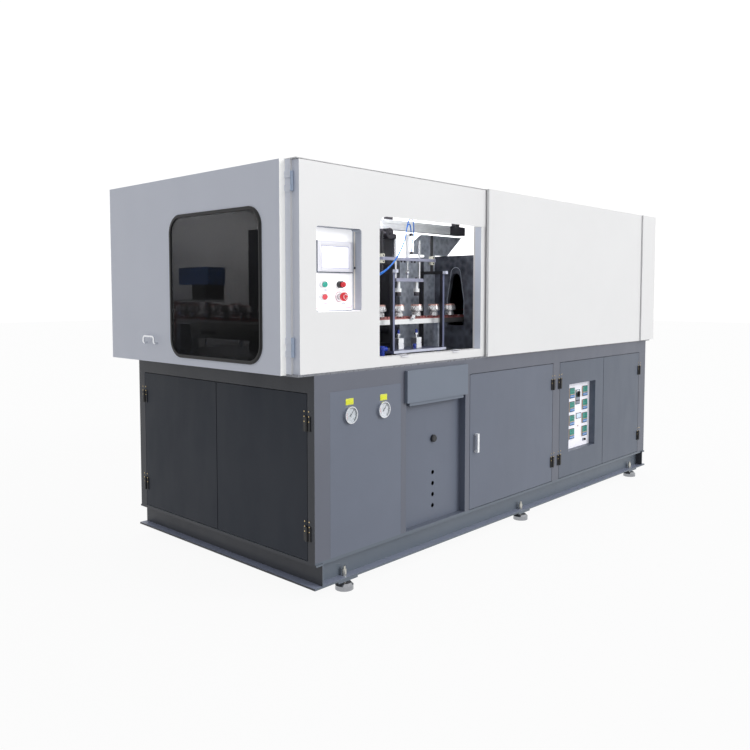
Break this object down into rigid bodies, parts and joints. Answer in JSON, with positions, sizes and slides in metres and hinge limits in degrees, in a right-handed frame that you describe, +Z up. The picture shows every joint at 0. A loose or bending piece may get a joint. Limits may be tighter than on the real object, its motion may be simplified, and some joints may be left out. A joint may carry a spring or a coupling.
{
  "type": "blow moulding machine",
  "caption": "Linear stretch blow moulding machine: painted cabinet on levelling feet, white guarded deck with a preform conveyor, loader, oven and mould clamp inside.",
  "frame": {"origin": "middle of the machine's outline, on the floor under the levelling feet", "axes": "+X to the right along the front, +Y to the back, +Z up"},
  "size_m": [3.195, 1.366, 1.709],
  "materials": {
    "frame_paint": "satin",
    "door_paint": "satin",
    "hood_paint": "satin",
    "white_paint": "satin",
    "end_paint": "satin",
    "zinc": "satin",
    "bright_steel": "polished",
    "black_hinge": "satin",
    "hinge_blue_grey": "satin",
    "instrument_white": "satin",
    "instrument_black": "matte",
    "dial_glass": "clear",
    "window_glass": "clear",
    "rubber": "matte",
    "screen": "gloss",
    "green_cap": "gloss",
    "red_cap": "gloss",
    "machined": "machined",
    "rail_white": "satin",
    "galvanised": "spangled",
    "bed_steel": "satin",
    "dark_oven": "mottled",
    "motor_blue": "satin",
    "tube_blue": "gloss",
    "cable_black": "matte"
  },
  "bodies": {
    "machine": {"base_frame": "frame_paint", "foot_pads": "bright_steel", "foot_studs": "zinc", "cabinet_frame": "frame_paint", "cabinet_cover_panels": "door_paint", "gauge_panel": "door_paint", "gauge_cases": "bright_steel", "gauge_lenses": "dial_glass", "bay_panel": "door_paint", "bay_hood": "hood_paint", "hinge_fixed_leaves": "black_hinge", "electrical_mounting_plate": "galvanised", "deck_plate": "bed_steel", "enclosure_frame": "white_paint", "roof_panel": "white_paint", "upper_rear_panel": "white_paint", "right_end_cover": "white_paint", "front_left_panel": "white_paint", "opening_frame": "white_paint", "end_door_hinges": "hinge_blue_grey", "control_box": "white_paint", "touch_panel": "screen", "button_housings": "bright_steel", "conveyor_rail": "rail_white", "preform_chain": "bright_steel", "servo_motor": "motor_blue", "loading_frame": "machined", "air_cylinders": "bright_steel", "transfer_beam": "machined", "oven_housing": "dark_oven", "heat_shield": "galvanised", "clamp_frame": "machined", "air_tubes": "tube_blue", "servo_cable": "cable_black"},
    "valve_door": {"valve_door": "door_paint", "valve_door_handle": "bright_steel"},
    "electrical_door_left": {"electrical_door_left": "door_paint", "temperature_panel": "instrument_white", "temperature_controllers": "instrument_black"},
    "electrical_door_right": {"electrical_door_right": "door_paint"},
    "lower_end_door_front": {"lower_end_door_front": "door_paint"},
    "lower_end_door_back": {"lower_end_door_back": "door_paint"},
    "gauge_needle_left": {"gauge_needle_left": "instrument_black"},
    "gauge_needle_right": {"gauge_needle_right": "instrument_black"},
    "bay_lock": {"bay_lock": "instrument_black"},
    "selector_knob": {"selector_knob": "instrument_black"},
    "sliding_door": {"sliding_door": "white_paint"},
    "end_door": {"end_door": "end_paint", "end_door_window": "window_glass", "end_door_gasket": "rubber", "end_door_handle": "bright_steel"},
    "green_button": {"green_button": "green_cap"},
    "red_button": {"red_button": "red_cap"},
    "emergency_stop": {"emergency_stop": "red_cap"},
    "drive_sprocket": {"drive_sprocket": "machined"},
    "gripper_carriage": {"gripper_carriage": "machined"},
    "lift_rods": {"lift_rods": "bright_steel"},
    "mould_left": {"mould_left": "machined"},
    "mould_right": {"mould_right": "machined"},
    "stretch_head": {"stretch_head": "bright_steel"}
  },
  "joints": [
    {"name": "valve_door_hinge", "type": "hinge", "parent": "machine", "child": "valve_door", "pos_m": [0.331, -0.6628, 0.262], "axis": [0, 0, 1], "range_deg": [0, 90]},
    {"name": "electrical_left_hinge", "type": "hinge", "parent": "machine", "child": "electrical_door_left", "pos_m": [0.407, -0.6628, 0.262], "axis": [0, 0, -1], "range_deg": [0, 90]},
    {"name": "electrical_right_hinge", "type": "hinge", "parent": "machine", "child": "electrical_door_right", "pos_m": [1.441, -0.6628, 0.262], "axis": [0, 0, 1], "range_deg": [0, 110]},
    {"name": "end_front_hinge", "type": "hinge", "parent": "machine", "child": "lower_end_door_front", "pos_m": [-1.4683, -0.6155, 0.262], "axis": [0, 0, 1], "range_deg": [0, 110]},
    {"name": "end_back_hinge", "type": "hinge", "parent": "machine", "child": "lower_end_door_back", "pos_m": [-1.4683, 0.5775, 0.262], "axis": [0, 0, -1], "range_deg": [0, 110]},
    {"name": "gauge_left_pivot", "type": "hinge", "parent": "machine", "child": "gauge_needle_left", "pos_m": [-1.2685, -0.664, 0.714], "axis": [0, 1, 0], "range_deg": [-175, 95]},
    {"name": "gauge_right_pivot", "type": "hinge", "parent": "machine", "child": "gauge_needle_right", "pos_m": [-1.0705, -0.664, 0.714], "axis": [0, 1, 0], "range_deg": [-175, 95]},
    {"name": "bay_lock_turn", "type": "hinge", "parent": "machine", "child": "bay_lock", "pos_m": [-0.6925, -0.624, 0.535], "axis": [0, 1, 0], "range_deg": [0, 90]},
    {"name": "selector_turn", "type": "hinge", "parent": "electrical_door_left", "child": "selector_knob", "pos_m": [0.6855, -0.628, 0.608], "axis": [0, 1, 0], "range_deg": [-45, 45]},
    {"name": "sliding_door_run", "type": "slide", "parent": "machine", "child": "sliding_door", "axis": [-1, 0, 0], "range_m": [0, 0.79]},
    {"name": "end_door_hinge", "type": "hinge", "parent": "machine", "child": "end_door", "pos_m": [-1.5406, -0.625, 0.961], "axis": [0, 0, 1], "range_deg": [0, 110]},
    {"name": "green_button_press", "type": "slide", "parent": "machine", "child": "green_button", "axis": [0, 1, 0], "range_m": [0, 0.003], "stiffness_N_per_m": 400, "springref_m": -0.001},
    {"name": "red_button_press", "type": "slide", "parent": "machine", "child": "red_button", "axis": [0, 1, 0], "range_m": [0, 0.003], "stiffness_N_per_m": 400, "springref_m": -0.001},
    {"name": "emergency_stop_press", "type": "slide", "parent": "machine", "child": "emergency_stop", "axis": [0, 1, 0], "range_m": [0, 0.003]},
    {"name": "sprocket_turn", "type": "hinge", "parent": "machine", "child": "drive_sprocket", "pos_m": [-1.2515, 0.3381, 1.087], "axis": [0, 0, 1], "continuous": true},
    {"name": "gripper_drop", "type": "slide", "parent": "machine", "child": "gripper_carriage", "axis": [0, 0, -1], "range_m": [0, 0.038]},
    {"name": "lift_rods_rise", "type": "slide", "parent": "machine", "child": "lift_rods", "axis": [0, 0, 1], "range_m": [0, 0.02]},
    {"name": "mould_left_close", "type": "slide", "parent": "machine", "child": "mould_left", "axis": [1, 0, 0], "range_m": [0, 0.0498]},
    {"name": "mould_right_close", "type": "slide", "parent": "machine", "child": "mould_right", "axis": [-1, 0, 0], "range_m": [0, 0.0498]},
    {"name": "stretch_head_drop", "type": "slide", "parent": "machine", "child": "stretch_head", "axis": [0, 0, -1], "range_m": [0, 0.036]}
  ],
  "couplings": [
    {"joint": "mould_right_close", "follows": "mould_left_close", "ratio": 1}
  ]
}
